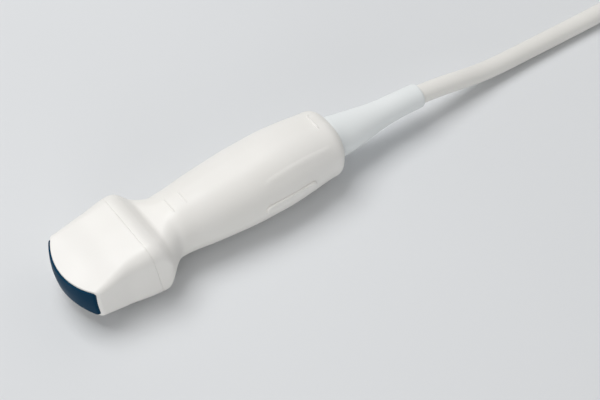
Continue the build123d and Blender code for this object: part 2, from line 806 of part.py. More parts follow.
def make_plug_screws():
    screws = []
    low, high = -plug_height / 2 + plug_screw_sunk, plug_screw_reach
    for x in plug_screw_x:
        for y in (plug_screw_y, -plug_screw_y):
            head = Pos(x, y, low + plug_screw_head / 2)
            head = head * Cylinder(plug_screw_head_radius - thread_clearance, plug_screw_head)
            shank = Pos(x, y, (low + high) / 2)
            shank = shank * Cylinder(plug_screw_radius - thread_clearance, high - low)
            screws.append(head + shank)
    return screws


def make_block():
    """Contact block: a tongue out of the front of the plug, held by its flange inside."""
    start = plug_length - plug_wall - block_depth
    end = plug_length + block_proud
    width, height = 2 * (block_half_width - block_clearance), 2 * (block_half_height - block_clearance)
    block = Pos((start + end) / 2, 0, 0) * Box(end - start, width, height)
    block = fillet(block.faces().sort_by(Axis.X)[-1].edges(), radius=block_edge)
    flange = Pos(plug_length - plug_wall - block_flange / 2 - block_clearance, 0, 0)
    block = block + flange * Box(block_flange, width, height + 2 * block_flange)
    for spot in pad_spots():
        block = block - spot * Box(pad_length, pad_width, 2 * pad_depth)
    return block


def pad_spots():
    pitch = (2 * block_half_width - 5) / pad_count
    x = plug_length + block_proud - pad_from_edge - pad_length / 2
    face = block_half_height - block_clearance
    return [
        Pos(x, (k - (pad_count - 1) / 2) * pitch, side * face)
        for side in (1, -1)
        for k in range(pad_count)
    ]


def make_pads():
    """Contacts in the grooves of the block."""
    face = block_half_height - block_clearance
    pads = []
    for spot in pad_spots():
        side = 1 if spot.position.Z > 0 else -1
        lift = Pos(spot.position.X, spot.position.Y, side * (face - pad_depth / 2))
        pads.append(lift * Box(pad_length, pad_width, pad_depth))
    return pads


def make_plug_board():
    end = plug_length - plug_wall - block_depth - bond
    plate = Box(plug_board_length, 2 * plug_board_half_width, board_thickness)
    return Pos(end - plug_board_length / 2, 0, plug_board_height) * plate


def make_plug_relief():
    """Tapered relief with a flange inside the plug."""
    place = Rot(0, 90, 0)
    cone = Pos(-plug_relief_length / 2, 0, 0) * place
    cone = cone * Cone(plug_relief_end, plug_relief_base + plug_relief_step, plug_relief_length)
    neck = Pos(plug_wall / 2, 0, 0) * place * Cylinder(plug_relief_base, plug_wall)
    flange = Pos(plug_wall + plug_flange / 2, 0, 0) * place * Cylinder(plug_flange_radius, plug_flange)
    bore = place * Cylinder(cable_radius, 80)
    return cone + neck + flange - bore


def make_plug_tail():
    """End of the cable inside the plug's relief."""
    length = plug_relief_length + plug_wall + plug_flange + 2
    return Pos(-plug_relief_length + length / 2, 0, 0) * Rot(0, 90, 0) * Cylinder(cable_radius, length)


def make_lever():
    """Lock lever: hub, arm and shaft in one piece, turning about the plug's upright axis."""
    top = plug_height / 2 + lever_gap
    hub = Pos(lever_x, 0, top + lever_hub_height / 2) * Cylinder(lever_hub_radius, lever_hub_height)
    hub = fillet(hub.edges().group_by(Axis.Z)[-1], radius=hub_edge)
    arm = SlotOverall(lever_arm_length * 2, lever_arm_width)
    arm = arm & Pos(-lever_arm_length / 2, 0) * Rectangle(lever_arm_length, 2 * lever_arm_width)
    arm = extrude(arm, amount=lever_arm_height)
    arm = Pos(lever_x, 0, top) * fillet(arm.edges().group_by(Axis.Z)[-1], radius=lever_edge)
    low = plug_height / 2 - plug_wall - shaft_boss_depth - cam_gap
    shaft = Pos(lever_x, 0, (low + top) / 2) * Cylinder(shaft_radius, top - low)
    return hub + arm + shaft


def make_cam():
    """Cam on the foot of the lever's shaft."""
    high = plug_height / 2 - plug_wall - shaft_boss_depth - cam_gap
    reach = cam_lobe - lobe_radius
    outline = Circle(cam_radius) + Pos(reach, 0) * Circle(lobe_radius)
    outline = outline + Pos(reach / 2, 0) * Rectangle(reach, 2 * lobe_radius)
    return Pos(lever_x, 0, high - cam_thickness) * extrude(outline, amount=cam_thickness)


# Writing the pieces


def write(name, shape):
    """One STEP file, a group of separate solids if a list is given."""
    if isinstance(shape, list):
        shape = Compound(children=shape)
    export_step(shape, f"parts/{name}.step")


def main():
    os.makedirs("parts", exist_ok=True)
    layers = stack_radii()
    tail = make_tail()
    cord, cord_length = tube(route_to_hank())
    lead, lead_length = tube(route_to_plug())
    put = plug_place()

    write("acoustic_lens", make_lens())
    write("matching_layer_outer", make_matching(layers[0]))
    write("matching_layer_inner", make_matching(layers[1]))
    write("piezo_elements", make_elements())
    write("backing_block", make_backing())
    write("array_carrier", make_carrier())
    write("nose_housing", make_nose())
    write("seam_gasket", make_gasket())
    write("grip_upper_shell", make_upper_shell())
    write("grip_lower_shell", make_lower_shell())
    write("flex_circuit_upper", make_flex(1))
    write("flex_circuit_lower", make_flex(-1))
    write("interconnect_board", make_board())
    write("flex_sockets", make_sockets())
    write("board_chips", make_chips())
    write("board_screws", make_board_screws())
    write("shield_upper", make_shield(True))
    write("shield_lower", make_shield(False))
    write("coax_bundle", make_bundle())
    write("crimp_ferrule", make_ferrule())
    write("cable_clamp_base", make_clamp(False))
    write("cable_clamp_cap", make_clamp(True))
    write("clamp_screws", make_clamp_screws())
    write("cable_tail", tail)
    write("strain_relief", make_relief(tail))
    write("cable_free", cord)
    write("cable_hank", make_hank())
    write("cable_lead", lead)
    write("hank_ties", make_ties())
    write("plug_upper_shell", put * make_plug_upper())
    write("plug_lower_shell", put * make_plug_lower())
    write("contact_block", put * make_block())
    write("contact_pads", [put * p for p in make_pads()])
    write("plug_board", put * make_plug_board())
    write("plug_relief", put * make_plug_relief())
    write("plug_cable_tail", put * make_plug_tail())
    write("plug_screws", [put * s for s in make_plug_screws()])
    write("lock_lever", put * make_lever())
    write("lock_cam", put * make_cam())
    print("cord lengths", round(cord_length, 1), round(lead_length, 1))


if __name__ == "__main__":
    main()
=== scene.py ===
from math import cos, degrees, pi, radians, sin, sqrt

import bpy
import numpy as np
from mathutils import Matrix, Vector


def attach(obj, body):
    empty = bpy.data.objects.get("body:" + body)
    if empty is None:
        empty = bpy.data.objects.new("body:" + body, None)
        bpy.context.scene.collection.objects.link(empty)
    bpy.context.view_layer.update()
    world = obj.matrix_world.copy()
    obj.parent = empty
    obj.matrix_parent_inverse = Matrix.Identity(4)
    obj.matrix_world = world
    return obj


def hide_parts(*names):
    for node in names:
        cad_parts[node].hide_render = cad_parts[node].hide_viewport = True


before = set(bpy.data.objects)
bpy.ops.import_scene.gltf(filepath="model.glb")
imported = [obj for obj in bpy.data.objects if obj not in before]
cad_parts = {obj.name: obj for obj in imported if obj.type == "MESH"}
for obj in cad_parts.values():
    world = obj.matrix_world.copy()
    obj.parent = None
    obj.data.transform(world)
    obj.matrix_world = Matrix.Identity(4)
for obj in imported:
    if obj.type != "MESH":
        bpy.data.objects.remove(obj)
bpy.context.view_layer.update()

# Convex ultrasound probe on a pale surface, with its cord and plug. Metres in Blender; the shape
# functions below work in millimetres, in the part's own frame, and MM turns them to metres.
# A station is a distance along the probe's axis from the tip of the lens.

MM = 0.001

TIP = -85.75  # x of station 0
AXIS = 15.0  # height of the probe's axis
SEAM, REAR = 32.0, 125.0  # stations of the seam and of the handle's rear face
SEAM_HALF, SEAM_DEPTH, SEAM_EDGE = 0.05, 0.2, 0.07  # groove between nose and handle, and its edges
SEAM_SLANT = -0.15  # shift of the seam along the axis for each millimetre of height
SEAM_REACH = 9.0  # how far into the handle that shift fades out
REAR_ROUNDING = 5.0  # radius of the handle's rear edge
ARRAY = 28.3  # station of the upright axis that the front is curved about
LENS_RADIUS, LENS_EDGE = 28.3, 0.35  # the lens's front and its edge
LENS_CROWN, LENS_REACH = 0.45, 9.6  # how much that front falls back, and at what height
LIP_RADIUS, LIP_EDGE = 27.4, 0.25  # the head's own front round the lens, and its outer edge
LIP_SIDE, LIP_TOP = 1.1, 0.85  # width of that lip beside and above the lens
WINDOW_DEPTH = 3.0  # how far the window's wall and the lens go in behind the lip
WINDOW_GAP = 0.03  # between that wall and the lens
LEAN, LEAN_SOFT = 0.15, 3.0  # lean of the front below the axis, and the height in which it begins
RELIEF_END_STATION, RELIEF_EDGE = 170.2, 1.0
RELIEF_DROOP = 1.6  # fall of the cable's axis from the handle to the relief's end
CABLE = 4.0  # radius of the cord
SUNK = 0.3  # how far a raised mark reaches into the surface under it

# Sections of the outer form: station, half width, half height, rise of its middle, corner radius
ROWS = (
    (0.0, 17.5, 6.0, -0.3, 1.2),
    (8.6, 17.6, 8.1, -0.6, 2.6),
    (19.8, 17.5, 11.9, -0.2, 4.6),
    (27.5, 18.4, 13.35, 0.0, 5.6),
    (32.0, 18.75, 13.9, 0.0, 6.0),
    (35.0, 19.1, 13.6, -0.5, 6.4),
    (37.5, 19.3, 12.4, -1.3, 7.6),
    (39.5, 18.4, 10.9, -1.28, 9.2),
    (41.5, 16.75, 10.8, -0.86, 10.2),
    (44.0, 14.65, 10.95, -0.5, 10.4),
    (47.0, 13.05, 11.4, -0.12, 10.6),
    (50.5, 13.05, 12.15, 0.14, 11.3),
    (62.0, 14.3, 13.3, 0.22, 12.4),
    (73.0, 15.25, 14.2, 0.25, 13.2),
    (84.5, 15.9, 15.0, 0.36, 13.95),
    (96.0, 15.9, 15.57, 0.58, 14.5),
    (107.0, 15.2, 15.07, 0.77, 14.0),
    (118.0, 13.95, 13.8, 0.8, 12.4),
    (125.0, 13.6, 13.3, 0.06, 11.7),
)
# Strain relief: share of its length, radius and drop of its middle under the axis
RELIEF_ROWS = (
    (0.0, 9.15, -0.6),
    (0.15, 8.4, 0.0),
    (0.3, 7.45, 0.35),
    (0.5, 6.05, 0.45),
    (0.65, 5.55, 0.5),
    (0.8, 5.35, 0.7),
    (1.0, 5.2, 1.4),
)


# Curves and sections


def soft(share):
    """A share from 0 to 1 with level ends: 3 t^2 - 2 t^3."""
    return share * share * (3 - 2 * share)


def ease(value, first, last):
    """How far a value is from first to last, held to 0 and 1 outside."""
    return np.clip((value - first) / (last - first), 0, 1)


def smooth_steps(xs, ys, x):
    """Monotone cubic through the points (xs, ys): slopes are harmonic means of the runs' slopes."""
    xs, ys = np.asarray(xs, float), np.asarray(ys, float)
    h, d = np.diff(xs), np.diff(ys) / np.diff(xs)
    m = np.zeros(len(xs))
    same = d[:-1] * d[1:] > 0
    w1, w2 = 2 * h[1:] + h[:-1], h[1:] + 2 * h[:-1]
    inner = np.zeros(len(d) - 1)
    inner[same] = (w1 + w2)[same] / (w1[same] / d[:-1][same] + w2[same] / d[1:][same])
    m[1:-1], m[0], m[-1] = inner, d[0], d[-1]
    k = np.clip(np.searchsorted(xs, x) - 1, 0, len(h) - 1)
    t = (x - xs[k]) / h[k]
    before = (1 + 2 * t) * (1 - t) ** 2 * ys[k] + h[k] * t * (1 - t) ** 2 * m[k]
    after = soft(t) * ys[k + 1] - h[k] * t * t * (1 - t) * m[k + 1]
    return before + after


def size_table(rows, spread, step=0.1):
    """Sizes at every step: a monotone cubic through the rows, averaged over a bell of that
    spread."""
    rows = np.array(rows, float)
    x = np.arange(rows[0, 0], rows[-1, 0] + step / 2, step)
    reach = np.arange(-4 * spread, 4 * spread + step / 2, step)
    bell = np.exp(-((reach / spread) ** 2) / 2)
    bell /= bell.sum()
    pad = len(reach) // 2
    sizes = []
    for column in rows[:, 1:].T:
        y = smooth_steps(rows[:, 0], column, x)
        before = 2 * y[0] - y[pad:0:-1]
        after = 2 * y[-1] - y[-2:-pad - 2:-1]
        sizes.append(np.convolve(np.concatenate([before, y, after]), bell, "valid"))
    return x, sizes


SOFTNESS = 0.6  # spread of the bell that blends the handle's rows, in mm
STATIONS, SIZES = size_table(ROWS, SOFTNESS)


def sizes_at(station):
    """Half width, half height, rise and corner radius at a station."""
    return [np.interp(station, STATIONS, column) for column in SIZES]


ARC, FLAT = 18, 14  # points on each corner and on each side of a section
LEAST_RADIUS = 0.2  # of a corner


def around():
    """Unit description of a rounded rectangle, starting at the -Y side's upper corner and going
    over the top: a point is place * (half size - radius) + turn * radius on each axis. On a corner
    the turn goes through a quarter circle, on a side the place goes on to the next corner."""
    corner = np.array([(-1.0, 1.0), (1.0, 1.0), (1.0, -1.0), (-1.0, -1.0)])[:, None, :]
    angle = pi - np.arange(4)[:, None] * pi / 2 - np.linspace(0, pi / 2, ARC)
    turn = np.stack([np.cos(angle), np.sin(angle)], -1)
    run = np.linspace(0, 1, FLAT + 2)[1:-1, None]
    side = corner + (np.roll(corner, -1, 0) - corner) * run
    place = np.concatenate([np.repeat(corner, ARC, 1), side], 1)
    turn = np.concatenate([turn, np.repeat(turn[:, -1:], FLAT, 1)], 1)
    return place.reshape(-1, 2), turn.reshape(-1, 2)


PLACE, TURN = around()


def section(sizes, side, top):
    """y and z round each section, moved inwards by side on the narrow sides and by top on the broad
    ones."""
    a, b, rise, r = (np.asarray(value, float) for value in sizes)
    side, top = np.broadcast_to(side, a.shape), np.broadcast_to(top, a.shape)
    r = np.maximum(r - np.minimum(side, top), LEAST_RADIUS)
    y = PLACE[:, 0] * (a - side - r)[..., None] + TURN[:, 0] * r[..., None]
    z = PLACE[:, 1] * (b - top - r)[..., None] + TURN[:, 1] * r[..., None] + rise[..., None]
    return y, z


def top_height(station, y):
    """Height over the axis of the handle's broad side at y: flat, then down round the corner."""
    a, b, rise, r = sizes_at(station)
    past = np.clip(np.abs(y) - (a - r), 0, r)
    return rise + b - r + np.sqrt(r**2 - past**2)


def side_reach(station, z):
    """Distance from the axis of the handle's narrow side at height z: flat, then in round the
    corner."""
    a, b, rise, r = sizes_at(station)
    past = np.clip(np.abs(z - rise) - (b - r), 0, r)
    return a - r + np.sqrt(r**2 - past**2)


def points(x, y, z):
    """Stacks station, y and height over the axis into points in metres."""
    x, y, z = np.broadcast_arrays(x, y, z)
    return np.stack([x + TIP, y, z + AXIS], -1) * MM


# Meshes


def build(name, grids, body, material, sharp=35):
    """Closed mesh of quads over rows of points, each row a loop, with a fan from the middle of the
    first and of the last row; one such skin for each grid."""
    verts, faces = np.empty((0, 3)), []
    for grid in grids:
        rows, columns = grid.shape[:2]
        index = len(verts) + np.arange(rows * columns).reshape(rows, columns)
        ahead = np.roll(index, -1, 1)
        quads = np.stack([index[:-1], index[1:], ahead[1:], ahead[:-1]], -1)
        faces += quads.reshape(-1, 4).tolist()
        verts = np.vstack([verts, grid.reshape(-1, 3), grid[0].mean(0), grid[-1].mean(0)])
        first, last = len(verts) - 2, len(verts) - 1
        faces += np.stack([index[0], ahead[0], np.full(columns, first)], -1).tolist()
        faces += np.stack([ahead[-1], index[-1], np.full(columns, last)], -1).tolist()
    mesh = bpy.data.meshes.new(name)
    mesh.from_pydata(verts.tolist(), [], faces)
    mesh.validate()
    mesh.polygons.foreach_set("use_smooth", np.ones(len(mesh.polygons), bool))
    mesh.set_sharp_from_angle(angle=radians(sharp))
    piece = bpy.data.objects.new(name, mesh)
    bpy.context.scene.collection.objects.link(piece)
    mesh.materials.append(material)
    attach(piece, body)
    return piece


# Materials


def linear(colour):
    """sRGB hex value to linear red, green, blue and alpha."""
    parts = [int(colour[k:k + 2], 16) / 255 for k in (1, 3, 5)]
    return [p / 12.92 if p <= 0.04045 else ((p + 0.055) / 1.055) ** 2.4 for p in parts] + [1.0]


def add(tree, kind, inputs=(), **settings):
    """Adds a node: settings are its properties, inputs its values or the sockets that feed them."""
    made = tree.nodes.new(kind)
    for key, value in settings.items():
        setattr(made, key, value)
    for key, value in dict(inputs).items():
        if isinstance(value, bpy.types.NodeSocket):
            tree.links.new(value, made.inputs[key])
        else:
            made.inputs[key].default_value = value
    return made


def start(name):
    """New node material: its tree, its surface shader and the object's coordinates."""
    material = bpy.data.materials.new(name)
    material.use_nodes = True
    tree = material.node_tree
    tree.nodes.clear()
    surface = add(tree, "ShaderNodeBsdfPrincipled")
    add(tree, "ShaderNodeOutputMaterial", {"Surface": surface.outputs[0]})
    place = add(tree, "ShaderNodeTexCoord").outputs["Object"]
    return material, tree, surface, place


def per_mm(size):
    """Texture scale that gives features of that size in millimetres."""
    return 1000.0 / size


PATCH, HANDLED = 30.0, 0.05  # size of the cloudy patches in mm; how much they change the roughness


def moulded(name, light, dark, roughness, grain=0.6, depth=0.012, ior=1.5):
    """Injection-moulded plastic: cloudy by a shade over centimetres, with the orange-peel or
    spark-eroded grain of the mould, and a little smoother in patches where it has been handled. The
    grain's size and depth are in mm, coarser than the real grain, which is too fine to show."""
    material, tree, surface, place = start(name)
    cloud = add(tree, "ShaderNodeTexNoise", {
        "Vector": place, "Scale": per_mm(PATCH), "Detail": 1.0})
    share = add(tree, "ShaderNodeMapRange", {
        "Value": cloud.outputs["Fac"], "From Min": 0.3, "From Max": 0.7})
    colour = add(tree, "ShaderNodeMix", {
        "Factor": share.outputs[0], "A": linear(dark), "B": linear(light)}, data_type="RGBA")
    rubbed = add(tree, "ShaderNodeTexNoise", {
        "Vector": place, "Scale": per_mm(PATCH / 3), "Detail": 3.0})
    rough = add(tree, "ShaderNodeMapRange", {
        "Value": rubbed.outputs["Fac"], "From Min": 0.35, "From Max": 0.65,
        "To Min": roughness - HANDLED, "To Max": roughness + HANDLED})
    fine = add(tree, "ShaderNodeTexNoise", {
        "Vector": place, "Scale": per_mm(grain), "Detail": 2.0})
    bump = add(tree, "ShaderNodeBump", {
        "Height": fine.outputs["Fac"], "Strength": 0.35, "Distance": depth * MM})
    tree.links.new(colour.outputs["Result"], surface.inputs["Base Color"])
    tree.links.new(rough.outputs[0], surface.inputs["Roughness"])
    tree.links.new(bump.outputs[0], surface.inputs["Normal"])
    surface.inputs["IOR"].default_value = ior
    return material


SCRATCH, SCRATCH_DEPTH = 0.25, 0.01  # in mm, coarser than real tool marks, which wouldn't show


def metal(name, colour, roughness):
    """Turned or rolled metal: fine marks of the tool spread its reflection."""
    material, tree, surface, place = start(name)
    stretched = add(tree, "ShaderNodeMapping", {"Vector": place, "Scale": (1.0, 1.0, 8.0)})
    marks = add(tree, "ShaderNodeTexNoise", {
        "Vector": stretched.outputs[0], "Scale": per_mm(SCRATCH), "Detail": 2.0})
    rough = add(tree, "ShaderNodeMapRange", {
        "Value": marks.outputs["Fac"], "To Min": roughness - 0.08, "To Max": roughness + 0.1})
    bump = add(tree, "ShaderNodeBump", {
        "Height": marks.outputs["Fac"], "Strength": 0.2, "Distance": SCRATCH_DEPTH * MM})
    tree.links.new(rough.outputs[0], surface.inputs["Roughness"])
    tree.links.new(bump.outputs[0], surface.inputs["Normal"])
    surface.inputs["Base Color"].default_value = linear(colour)
    surface.inputs["Metallic"].default_value = 1.0
    return material


THREAD, THREAD_DEPTH = 0.9, 0.15  # spacing of the webbing's threads, and how far they stand up


def woven(name, light, dark):
    """Woven webbing: two crossed waves, whose product lifts each thread over its neighbours, with
    painted shade between the threads, with a soft nap. The wave node's period is 2 pi / (20 *
    scale)."""
    material, tree, surface, place = start(name)
    setting = {"Vector": place, "Scale": per_mm(THREAD) * pi / 10, "Distortion": 0.4}
    warp = add(tree, "ShaderNodeTexWave", setting, bands_direction="X")
    weft = add(tree, "ShaderNodeTexWave", setting, bands_direction="DIAGONAL")
    weave = add(tree, "ShaderNodeMath", {
        0: warp.outputs["Fac"], 1: weft.outputs["Fac"]}, operation="MULTIPLY")
    # painted shade: the colour darkens where the threads lie low, in the hollows between them
    colour = add(tree, "ShaderNodeMix", {
        "Factor": weave.outputs[0], "A": linear(dark), "B": linear(light)}, data_type="RGBA")
    bump = add(tree, "ShaderNodeBump", {
        "Height": weave.outputs[0], "Strength": 0.8, "Distance": THREAD_DEPTH * MM})
    tree.links.new(colour.outputs["Result"], surface.inputs["Base Color"])
    tree.links.new(bump.outputs[0], surface.inputs["Normal"])
    surface.inputs["Roughness"].default_value = 0.85
    surface.inputs["Sheen Weight"].default_value = 0.3
    return material


# Warm white ABS from a spark-eroded mould: a broad, soft satin highlight
housing = moulded("moulded_abs_warm_white", "#F1EFEB", "#EEECE7", 0.42)
# Cast silicone, tinted through: dark blue and smooth, with little reflection at its low index
lens_silicone = moulded("cast_silicone_dark_blue", "#063650", "#052F47", 0.42,
                        grain=0.4, depth=0.004, ior=1.41)
lens_shader = lens_silicone.node_tree.nodes["Principled BSDF"]
lens_shader.inputs["Specular IOR Level"].default_value = 0.05
# Moulded thermoplastic rubber: cooler and duller than the housing
relief_tpe = moulded("moulded_tpe_cool_white", "#EDF0F0", "#E9EDED", 0.5, grain=0.5)
# Extruded cable jacket: warm grey, a soft gloss along it, slightly uneven
jacket = moulded("extruded_tpu_warm_grey", "#EEECE7", "#E7E5E0", 0.42, grain=0.8)
# Silicone seal: matt grey
seal = moulded("moulded_silicone_grey", "#C9C8C4", "#C2C1BD", 0.55)
# Filled epoxy, ground flat: brown-grey and dull
matching = moulded("ground_filled_epoxy", "#5A534C", "#514B45", 0.6)
# Sintered ceramic, diced: pale tan and chalky
ceramic = moulded("diced_pzt_ceramic", "#C9BA90", "#BEAE84", 0.55)
# Epoxy loaded with tungsten powder: near black and dull
backing = moulded("cast_tungsten_epoxy", "#26262A", "#1F1F23", 0.6)
# Black nylon: fine even grain
black = moulded("moulded_nylon_black", "#232326", "#1D1D20", 0.5)
# Polyimide film: amber and glossy
film = moulded("polyimide_film_amber", "#B8741F", "#A96A1C", 0.25, grain=2.0, depth=0.004)
# Circuit board under solder mask: green with a gloss
solder_mask = moulded("glass_epoxy_green", "#1F6B41", "#1A6039", 0.3, grain=0.5)
# Socket bodies in ivory high-temperature plastic
socket_plastic = moulded("moulded_lcp_ivory", "#E4DDC8", "#DCD4BD", 0.5)
# Bundle of thin fluoropolymer leads: smooth, faintly violet
leads = moulded("fluoropolymer_leads", "#8C7AA6", "#7C6B98", 0.35)
# Nylon webbing: charcoal, visible threads, no gloss
strap = woven("woven_nylon_strap", "#44484E", "#1D1F22")
# Light grey ABS with a coarser grain than the probe's
plug_plastic = moulded("moulded_abs_light_grey", "#D5D6D6", "#CFD0D0", 0.5, grain=0.35, depth=0.02)
# Dark grey acetal: waxy and smooth
lever_plastic = moulded("moulded_acetal_dark_grey", "#4A4E53", "#44484D", 0.35)
# Metals: zinc-plated screws, rolled tinned sheet, plated brass ferrule, gold-plated contacts
steel = metal("plated_steel", "#C9CBCD", 0.35)
tin = metal("tinned_steel_sheet", "#D6D6D2", 0.4)
brass = metal("plated_brass", "#D8B878", 0.35)
gold = metal("gold_plated_contacts", "#E2BC6A", 0.25)

FINISH = {
    "acoustic_lens": lens_silicone,
    "matching_layer_outer": matching,
    "matching_layer_inner": matching,
    "piezo_elements": ceramic,
    "backing_block": backing,
    "array_carrier": black,
    "nose_housing": housing,
    "seam_gasket": seal,
    "grip_upper_shell": housing,
    "grip_lower_shell": housing,
    "flex_circuit_upper": film,
    "flex_circuit_lower": film,
    "interconnect_board": solder_mask,
    "flex_sockets": socket_plastic,
    "board_chips": black,
    "board_screws": steel,
    "shield_upper": tin,
    "shield_lower": tin,
    "coax_bundle": leads,
    "crimp_ferrule": brass,
    "cable_clamp_base": black,
    "cable_clamp_cap": black,
    "clamp_screws": steel,
    "cable_tail": jacket,
    "strain_relief": relief_tpe,
    "cable_free": jacket,
    "cable_hank": jacket,
    "cable_lead": jacket,
    "hank_ties": strap,
    "plug_upper_shell": plug_plastic,
    "plug_lower_shell": plug_plastic,
    "contact_block": black,
    "contact_pads": gold,
    "plug_board": solder_mask,
    "plug_relief": relief_tpe,
    "plug_cable_tail": jacket,
    "plug_screws": steel,
    "lock_lever": lever_plastic,
    "lock_cam": steel,
}
for name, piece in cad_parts.items():
    piece.data.materials.clear()
    piece.data.materials.append(FINISH[name])


# Probe

ROUNDS, SLANT_ROUNDS = 6, 4  # repeats in which a point finds its own station


def quarter(count):
    """Angles of a quarter circle."""
    return np.linspace(0, pi / 2, count)


def lean(z):
    """The front's shift to the rear: nothing well above the axis, a slope below it, joined
    smoothly."""
    return LEAN * (np.sqrt(z**2 + LEAN_SOFT**2) - z) / 2


def front_rows(radius, side, top):
    """Station, y and z of the front outline that lies on an upright cylinder of that radius, moved
    inwards by side and top: each point's own y sets its station, found by a few rounds of
    repeating."""
    station = np.full(len(PLACE), 4.0)
    for _ in range(ROUNDS):
        y, z = section(sizes_at(station), side, top)
        y, z = np.diagonal(y), np.diagonal(z)
        station = ARRAY - np.sqrt(radius**2 - y**2) + lean(z)
    return station, y, z


def slanted(station, share, inset=0.0):
    """Station, y and z of a section moved inwards by the inset, whose points are shifted along the
    axis in proportion to their height, by a share of the seam's slant, each taking its size from
    its own station, found in the same way."""
    station = np.broadcast_to(station, len(PLACE)).astype(float)
    moved = station
    for _ in range(SLANT_ROUNDS):
        y, z = section(sizes_at(moved), inset, inset)
        y, z = np.diagonal(y), np.diagonal(z)
        moved = station + SEAM_SLANT * z * share
    return moved, y, z


def make_nose():
    """Wedge-shaped head. Along each column: the window's inner wall, the lip's face, a small round
    edge on the curved front, the blended sections back to the seam, its round edge and the tongue
    that carries on under the handle's rim."""
    rows = []
    window = front_rows(LIP_RADIUS, LIP_SIDE, LIP_TOP)
    rows.append((window[0] + WINDOW_DEPTH, *window[1:]))
    rows.append(window)
    for t in quarter(5)[::-1]:
        inset = LIP_EDGE * (1 - cos(t))
        station, y, z = front_rows(LIP_RADIUS, inset, inset)
        rows.append((station + LIP_EDGE * (1 - sin(t)), y, z))
    edge = rows[-1][0]
    last = SEAM - SEAM_HALF - SEAM_EDGE
    for share in np.linspace(0, 1, 72)[1:]:
        rows.append(slanted(edge + (last - edge) * share, share**3))
    for t in quarter(4)[1:]:
        rows.append(slanted(last + SEAM_EDGE * sin(t), 1.0, SEAM_EDGE * (1 - cos(t))))
    for step in (0.0, 1.0):
        rows.append(slanted(last + SEAM_EDGE + step, 1.0, SEAM_DEPTH))
    grid = np.stack([points(*row) for row in rows])
    piece = build("nose_skin", [grid], "probe", housing)
    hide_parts("nose_housing")


def make_lens():
    """Convex lens: its outline is the window's, its front the cylinder about the array's axis with
    a radius that falls with the square of the height, so that it is crowned both ways."""
    station, y, z = front_rows(LIP_RADIUS, LIP_SIDE + WINDOW_GAP, LIP_TOP + WINDOW_GAP)

    def bulge(y, z, lower=0.0):
        """Station of the lens's front at y and z, or of a surface lower than it."""
        reach = LENS_RADIUS - LENS_CROWN * (z / LENS_REACH) ** 2 - lower
        return ARRAY - np.sqrt(reach**2 - y**2) + lean(z)

    rows = [(station + WINDOW_DEPTH, y, z), (bulge(y, z, LENS_EDGE), y, z)]
    half_y, half_z = np.abs(y).max(), np.abs(z).max()
    for t in quarter(6)[1:]:
        inset = LENS_EDGE * (1 - cos(t))
        inner = (y * (1 - inset / half_y), z * (1 - inset / half_z))
        rows.append((bulge(*inner, LENS_EDGE * (1 - sin(t))), *inner))
    y, z = rows[-1][1:]
    for scale in np.linspace(1, 0, 36)[1:-1]:
        rows.append((bulge(y * scale, z * scale), y * scale, z * scale))
    grid = np.stack([points(*row) for row in rows])
    piece = build("lens_skin", [grid], "probe", lens_silicone)
    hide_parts("acoustic_lens")


def make_grip():
    """Handle: sections along the axis from the rim at the seam, over the shoulder and the neck, to
    the rear, where the last sections move inwards round a quarter circle."""
    first = SEAM + SEAM_HALF
    rows = [slanted(first, 1.0, 1.0)]
    for t in quarter(4):
        rows.append(slanted(first + SEAM_EDGE * (1 - cos(t)), 1.0, SEAM_EDGE * (1 - sin(t))))
    for station in np.arange(first + SEAM_EDGE + 0.25, REAR - REAR_ROUNDING, 0.5):
        rows.append(slanted(station, max(0.0, 1 - (station - SEAM) / SEAM_REACH) ** 2))
    for t in quarter(14):
        inset = REAR_ROUNDING * (1 - cos(t))
        rows.append(slanted(REAR - REAR_ROUNDING * (1 - sin(t)), 0.0, inset))
    grid = np.stack([points(*row) for row in rows])
    piece = build("grip_skin", [grid], "probe", housing)
    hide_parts("grip_upper_shell", "grip_lower_shell")


RELIEF_STEPS = 70  # sections of the strain relief before its round edge


def make_relief():
    """Strain relief: round sections with radius and drop from a smooth curve through its rows, and
    a round edge at the end."""
    last, turn = RELIEF_END_STATION - RELIEF_EDGE, quarter(8)[1:]
    stations = np.linspace(REAR - 1.5, last, RELIEF_STEPS)
    stations = np.concatenate([stations, last + RELIEF_EDGE * np.sin(turn)])
    shrink = np.concatenate([np.zeros(RELIEF_STEPS), RELIEF_EDGE * (1 - np.cos(turn))])
    way, sizes = size_table(RELIEF_ROWS, 0.05, 0.01)
    share = ease(stations, REAR, RELIEF_END_STATION)
    radius, drop = (np.interp(share, way, column) for column in sizes)
    radius = (radius - shrink)[:, None]
    angle = np.linspace(pi, -pi, 72, endpoint=False)
    y, z = radius * np.cos(angle), radius * np.sin(angle) - drop[:, None]
    grid = points(stations[:, None], y, z)
    piece = build("relief_skin", [grid], "probe", relief_tpe)
    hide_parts("strain_relief")


# Orientation bar: station of its middle, half of its straight length, half width, height and edge
BAR_MIDDLE, BAR_STRAIGHT, BAR_HALF, BAR_PROUD, BAR_EDGE = 95.3, 10.2, 1.9, 1.1, 0.7
END_POINTS = 17  # on each half circle of a long round


def long_round(straight, half, edge, proud):
    """A raised long round with half-circle ends: nested outlines, the first under the surface, then
    a round edge, then inwards to the middle line. Gives each point's place along, across and
    above."""
    half_turn = np.linspace(90, -90, END_POINTS)
    turn = np.radians(np.concatenate([half_turn, half_turn - 180]))
    ends = np.repeat([straight, -straight], END_POINTS)
    inwards = np.linspace(edge, 0.98 * half, 4)[1:]
    inset = np.concatenate([[0.0], edge * (1 - np.cos(quarter(6))), inwards])
    above = np.concatenate([[-SUNK], proud - edge * (1 - np.sin(quarter(6))), np.full(3, proud)])
    reach = (half - inset)[:, None]
    return ends + reach * np.cos(turn), reach * np.sin(turn), above[:, None]


